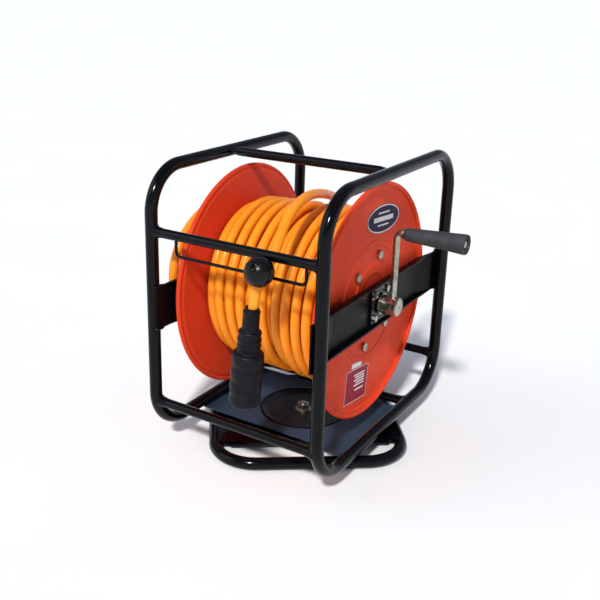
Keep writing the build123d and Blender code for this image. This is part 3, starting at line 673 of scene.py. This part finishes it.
def add_connector():
    """The supply hose's crimped ferrule, nut and threaded end."""
    origin = LEAD_POINTS[-1]
    down = (0, 0, -1)
    shape = bmesh.new()
    ferrule = [(0.0077, 0.0), (0.0088, 0.0), (0.0094, 0.0010), (0.0094, 0.0040)]
    for groove in range(4):
        start = 0.0050 + 0.0042 * groove
        ferrule += [(0.0088, start), (0.0088, start + 0.0016), (0.0094, start + 0.0026)]
    ferrule += [(0.0094, 0.0225), (0.0082, 0.0240)]
    turned(shape, softened(ferrule, 0.0004), origin, down, 72)
    add_hexagon(shape, origin, down, 0.022, 0.0240, 0.0330)
    thread = [(0.0076, 0.0330), (0.0074, 0.0342)]
    for crest in range(9):
        start = 0.0342 + 0.00134 * crest
        thread += [(0.0083, start + 0.0006), (0.0083, start + 0.0008), (0.0075, start + 0.00134)]
    thread += [(0.0074, 0.0468), (0.0068, 0.0470), (0.0046, 0.0470), (0.0045, 0.0300)]
    turned(shape, thread, origin, down, 72)
    made = piece("supply_connector", from_bmesh("supply_connector", shape), BRASS, "frame")
    made.data.set_sharp_from_angle(angle=math.radians(35))
    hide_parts("lead_in_connector")
    return made


connector = add_connector()

# ---- welds ----
BAR_ENDS = (
    # place of a bar's axis (y, z), its end's half depth and half height, and the hoop tube's direction
    (-0.015, 0.470, 0.0095, 0.0050, (1.0, 0.0)),
    (-0.218, 0.3765, 0.0094, 0.0094, (0.0, 1.0)),
    (-0.21617, 0.0924, 0.0094, 0.0094, (-0.229, 0.973)),
    (0.21617, 0.0924, 0.0094, 0.0094, (0.229, 0.973)),
    (0.103, 0.040, 0.0094, 0.0094, (1.0, 0.0)),
)
WELD_R = 0.0013
WELD_RIPPLE = 0.00035
BRACKET_WELD_R = 0.0019
BRACKET_WELD_RIPPLE = 0.0004
BRACKET_WELD_HALF = 0.0075
BRACKET_HALF = 0.035
BRACKET_PLACE = 0.1375    # the middle of a bracket end's sheet


def add_bracket_weld(shape, chance, side, end, height):
    """A short weld along the top or bottom edge of a bracket's end, where it lies on a post."""
    points = []
    radii = []
    for step in range(48):
        angle = math.tau * step / 48
        along = end * (POST_Y + BRACKET_WELD_HALF * math.cos(angle))
        points.append(at(side * (BRACKET_PLACE + 0.0016 * math.sin(angle)), along, height))
        ripple = BRACKET_WELD_RIPPLE * math.sin(angle * 14)
        radii.append(BRACKET_WELD_R + ripple + chance.uniform(-0.00015, 0.00015))
    ring_of(shape, points, radii, 8)


def add_welds():
    """A rippled weld bead where each cross tube meets a hoop, and at the brackets' ends."""
    chance = random.Random(3)
    shape = bmesh.new()
    for y, z, half_depth, half_height, (run_y, run_z) in BAR_ENDS:
        for side in (-1, 1):
            points = []
            radii = []
            for step in range(72):
                angle = math.tau * step / 72
                off_y = half_depth * math.cos(angle)
                off_z = half_height * math.sin(angle)
                aside = off_y * run_z - off_z * run_y
                meet = math.sqrt(max(TUBE_R**2 - aside**2, 0.0000045))
                points.append(at(side * (HOOP_X - meet - 0.0003), y + off_y, z + off_z))
                radii.append(WELD_R + WELD_RIPPLE * math.sin(angle * 18) + chance.uniform(-0.0001, 0.0001))
            ring_of(shape, points, radii, 8)
    for end in (-1, 1):
        for side in (-1, 1):
            for edge in (-1, 1):
                add_bracket_weld(shape, chance, side, end, AXIS_Z + edge * BRACKET_HALF)
    return piece("weld_beads", from_bmesh("weld_beads", shape), FRAME_BLACK, "frame")


add_welds()


def add_dish_rim():
    """The raised lip that the press leaves round the tray's dish."""
    shape = bmesh.new()
    lip = ((DISH_RIM_R - 0.0030, 0.0), (DISH_RIM_R - 0.0016, 0.0011), (DISH_RIM_R, 0.0015))
    lip += ((DISH_RIM_R + 0.0016, 0.0011), (DISH_RIM_R + 0.0030, 0.0))
    turned(shape, softened(lip, 0.0006), at(0, 0, TRAY_TOP - 0.0001), (0, 0, 1), 160)
    piece("dish_rim", from_bmesh("dish_rim", shape), FRAME_BLACK, "frame")


add_dish_rim()

# ---- crank grip ----
GRIP_Z = 0.375
GRIP_START = 0.1698
GRIP_END = 0.2670
SPOKES = 12
SPOKE_SIZE = (0.0036, 0.0009, 0.0028, 1)
SPOKE_PLACE = 0.0124      # from the grip's axis to a spoke's middle
SPOKE_DEPTH = 0.0024      # from the grip's end to a spoke's middle


def add_grip():
    """A moulded grip with a ring and spokes around the sunk nut in its outer end."""
    length = GRIP_END - GRIP_START
    origin = at(GRIP_START, 0, GRIP_Z)
    outside = (
        (0.0054, 0.0),
        (0.0080, 0.0),
        (0.0092, 0.0008),
        (0.0103, 0.0030),
        (0.0112, 0.0200),
        (0.0126, 0.0450),
        (0.0143, 0.0750),
        (0.0154, length - 0.0060),
        (0.0154, length - 0.0015),
        (0.0145, length),
        (0.0138, length),
        (0.0136, length - 0.0040),
        (0.0112, length - 0.0040),
        (0.0110, length - 0.0004),
        (0.0102, length - 0.0004),
        (0.0100, length - 0.0120),
        (0.0056, length - 0.0120),
    )
    shape = bmesh.new()
    turned(shape, softened(outside, 0.0006), origin, (1, 0, 0), 96)
    for spoke in range(SPOKES):
        angle = math.tau * spoke / SPOKES
        turn = Matrix.Rotation(angle, 4, "X")
        place = Matrix.Translation(origin + Vector((length - SPOKE_DEPTH, 0, 0))) @ turn
        place = place @ Matrix.Translation((0, 0, SPOKE_PLACE)) @ Matrix.Diagonal(SPOKE_SIZE)
        bmesh.ops.create_cube(shape, size=1, matrix=place)
    made = piece("crank_grip", from_bmesh("crank_grip", shape), GRIP, "grip")
    made.data.set_sharp_from_angle(angle=math.radians(40))
    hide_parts("grip")


add_grip()

# ---- badge and label ----
RIGHT_FACE = 0.117


def on_disc(across, up, centre, tilt, height):
    """A point on the right disc's face, from a plate's own across and up."""
    turn = math.radians(tilt)
    y = centre[0] + across * math.cos(turn) - up * math.sin(turn)
    z = centre[1] + across * math.sin(turn) + up * math.cos(turn)
    return at(RIGHT_FACE + height, y, z)


def flat_band(shape, inner, outer, closed=True):
    """Fill between two rows of points."""
    low = [shape.verts.new(point) for point in inner]
    high = [shape.verts.new(point) for point in outer]
    count = len(low)
    for index in range(count if closed else count - 1):
        following = (index + 1) % count
        shape.faces.new((low[index], low[following], high[following], high[index]))


BADGE_PLACE = (0.030, 0.385)
BADGE_TILT = -4.5
BADGE_PRINT_HEIGHT = 0.0007
BADGE_BORDER = ((0.0555, 0.0205), (0.0575, 0.0225))    # half sizes of the oval's two edges
LABEL_PLACE = (-0.036, 0.122)
LABEL_TILT = -7.0
LABEL_PRINT_HEIGHT = 0.0005
# Plain bars that stand for the label's print: across and up of the middle, and the half sizes.
LABEL_BARS = (
    (0.008, 0.0170, 0.0190, 0.0011),
    (0.010, 0.0125, 0.0165, 0.0011),
    (0.009, 0.0080, 0.0185, 0.0011),
    (0.012, 0.0035, 0.0150, 0.0011),
    (0.009, -0.0010, 0.0180, 0.0011),
    (0.011, -0.0090, 0.0150, 0.0013),
    (0.000, 0.0278, 0.0380, 0.0005),
    (0.000, -0.0278, 0.0380, 0.0005),
    (-0.0378, 0.000, 0.0005, 0.0280),
    (0.0378, 0.000, 0.0005, 0.0280),
    (-0.006, 0.0345, 0.0170, 0.0042),
)
BADGE_BARS = (
    (0.0, 0.0, 0.0350, 0.0038),
    (0.0, 0.0100, 0.0200, 0.0013),
    (0.0, -0.0100, 0.0200, 0.0013),
)


def add_bars(shape, bars, place, tilt, height):
    """Flat rectangles on a plate that lies on the disc."""
    for middle_across, middle_up, half_across, half_up in bars:
        rows = []
        for level in (-1, 1):
            up = middle_up + level * half_up
            ends = (middle_across - half_across, middle_across + half_across)
            rows.append([on_disc(across, up, place, tilt, height) for across in ends])
        flat_band(shape, rows[0], rows[1], closed=False)


def add_prints():
    """The badge's pale border and plain bars, and the label's plain bars."""
    shape = bmesh.new()
    edges = []
    for half_across, half_up in BADGE_BORDER:
        edge = []
        for step in range(96):
            angle = math.tau * step / 96
            across = half_across * math.cos(angle)
            up = half_up * math.sin(angle)
            edge.append(on_disc(across, up, BADGE_PLACE, BADGE_TILT, BADGE_PRINT_HEIGHT))
        edges.append(edge)
    flat_band(shape, edges[0], edges[1])
    add_bars(shape, BADGE_BARS, BADGE_PLACE, BADGE_TILT, BADGE_PRINT_HEIGHT)
    piece("badge_print", from_bmesh("badge_print", shape), WHITE_PRINT, "drum")
    shape = bmesh.new()
    add_bars(shape, LABEL_BARS, LABEL_PLACE, LABEL_TILT, LABEL_PRINT_HEIGHT)
    piece("label_print", from_bmesh("label_print", shape), WHITE_PRINT, "drum")


add_prints()

# ---- finishes of the carried CAD nodes ----
FINISHES = (
    (
        FRAME_BLACK,
        "base_ring base_plate left_hoop right_hoop top_bar front_upper_bar front_lower_bar rear_lower_bar "
        "rear_bottom_bar hose_guide left_bearing_housing right_bearing_housing",
    ),
    (SHEET_BLACK, "left_bracket right_bracket"),
    (TRAY_BLACK, "tray"),
    (DRUM_RED, "drum_core left_disc right_disc"),
    (
        ZINC,
        "pivot_bolt pivot_washer pivot_nut bearing_bolts bearing_nuts ball_stop_screws hollow_axle "
        "axle_circlip axle_washer axle_hubs disc_bolts disc_nuts crank_hub crank_set_screws crank_arm "
        "crank_collar grip_washer grip_nut outlet_pipe",
    ),
    (BRASS, "swivel_body swivel_cap inlet_nipple end_coupling left_bush right_bush"),
    (BALL, "ball_stop_front ball_stop_rear"),
    (NYLON, "thrust_washer"),
    (RUBBER, "swivel_seals"),
    (BADGE_FACE, "badge"),
    (LABEL_FACE, "disc_label"),
)
for finish, names in FINISHES:
    for name in names.split():
        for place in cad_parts[name].material_slots:
            place.material = finish

# Folded sheet has eased edges that catch the light.
EASES = (("base_plate", 0.0011), ("tray", 0.0007), ("left_bracket", 0.0008), ("right_bracket", 0.0008))
for name, ease in EASES:
    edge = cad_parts[name].modifiers.new("eased_edges", "BEVEL")
    edge.width = ease
    edge.segments = 2
    edge.limit_method = "ANGLE"
    edge.angle_limit = math.radians(40)

# ---- floor and light ----
FLOOR_RADIUS = 90.0
# height above the horizon, and the room's colour there
ROOM_COLOURS = ((0.0, (0.92, 0.92, 0.93)), (0.13, (0.84, 0.86, 0.89)), (0.34, (0.24, 0.28, 0.36)))
# name, a point that the light comes from, strength, and spread in degrees
SUNS = (("key", (0.34, -1.06, 1.05), 3.1, 5), ("fill", (-1.0, -0.9, 0.9), 0.5, 40))


def add_floor():
    """A plain pale card under the reel."""
    dark = (0.95, 0.935, 0.915)
    light = (0.97, 0.955, 0.935)
    made = Nodes("floor_card")
    made.link(made.ramp(made.noise(2, 4), (0.3, dark), (0.7, light)), "Base Color")
    made.set(Roughness=0.9, Specular_IOR_Level=0.1)
    shape = bmesh.new()
    bmesh.ops.create_circle(shape, cap_ends=True, segments=96, radius=FLOOR_RADIUS)
    mesh = from_bmesh("floor", shape)
    mesh.materials.append(made.material)
    floor = bpy.data.objects.new("floor", mesh)
    bpy.context.collection.objects.link(floor)
    floor.location.z = -0.0004


def add_world():
    """A pale room, brightest near the horizon and bluer above."""
    world = bpy.data.worlds.new("room")
    world.use_nodes = True
    tree = world.node_tree
    place = tree.nodes.new("ShaderNodeTexCoord")
    split = tree.nodes.new("ShaderNodeSeparateXYZ")
    ramp = tree.nodes.new("ShaderNodeValToRGB")
    tree.links.new(place.outputs["Generated"], split.inputs["Vector"])
    tree.links.new(split.outputs["Z"], ramp.inputs["Fac"])
    tree.links.new(ramp.outputs["Color"], tree.nodes["Background"].inputs["Color"])
    ramp.color_ramp.elements.new(0.5)
    for element, (position, colour) in zip(ramp.color_ramp.elements, ROOM_COLOURS):
        element.position = position
        element.color = (*colour, 1)
    tree.nodes["Background"].inputs["Strength"].default_value = 1.0
    bpy.context.scene.world = world


def add_sun(name, source, strength, spread):
    """Even light from the direction of a point."""
    data = bpy.data.lights.new(name, "SUN")
    data.energy = strength
    data.angle = math.radians(spread)
    light = bpy.data.objects.new(name, data)
    light.rotation_euler = Vector(source).to_track_quat("Z", "Y").to_euler()
    bpy.context.collection.objects.link(light)


add_floor()
add_world()
for sun in SUNS:
    add_sun(*sun)
bpy.context.scene.view_settings.view_transform = "Standard"
